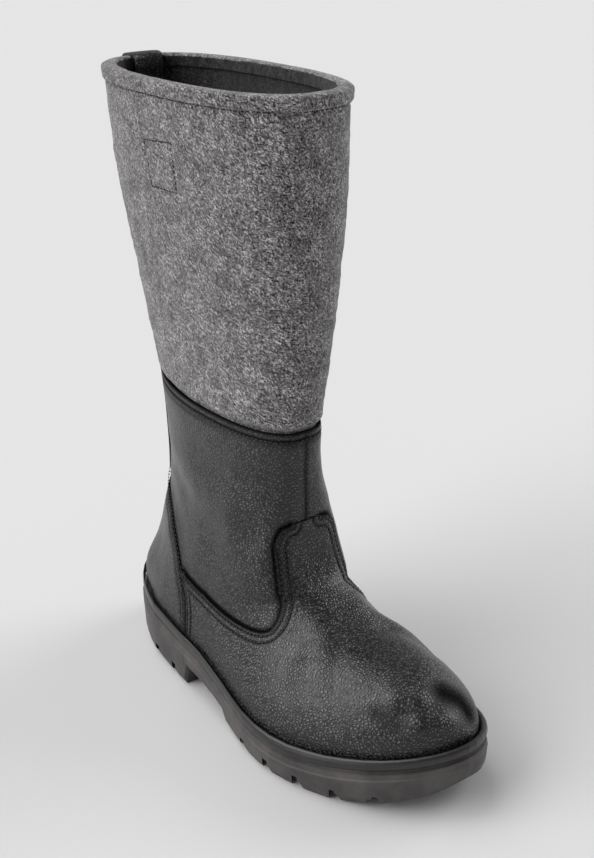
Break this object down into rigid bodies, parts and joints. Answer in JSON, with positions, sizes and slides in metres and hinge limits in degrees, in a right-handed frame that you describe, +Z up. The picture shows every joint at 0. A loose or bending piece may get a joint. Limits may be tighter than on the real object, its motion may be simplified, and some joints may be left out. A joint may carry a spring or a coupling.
{
  "type": "felt boot",
  "caption": "Mid-height winter boot with a flared grey felt shaft on a black leather foot, a rounded welt and a notched rubber sole",
  "frame": {"origin": "on the floor, under the middle of the boot's bounding box", "axes": "+X to the toe, +Y to the inner (medial) side, +Z up"},
  "size_m": [0.2988, 0.1114, 0.3641],
  "materials": {
    "sole_rubber": "matte dark grey rubber",
    "welt_rubber": "satin black rubber",
    "dark_felt": "dark wool felt",
    "leather": "black pebbled leather with a soft sheen",
    "felt": "heathered grey wool felt"
  },
  "bodies": {
    "root": {"outsole": "sole_rubber", "welt": "welt_rubber", "insole": "dark_felt", "upper": "leather", "vamp": "leather", "counter": "leather", "shaft": "felt", "collar_binding": "felt", "backstay": "leather"}
  },
  "joints": []
}
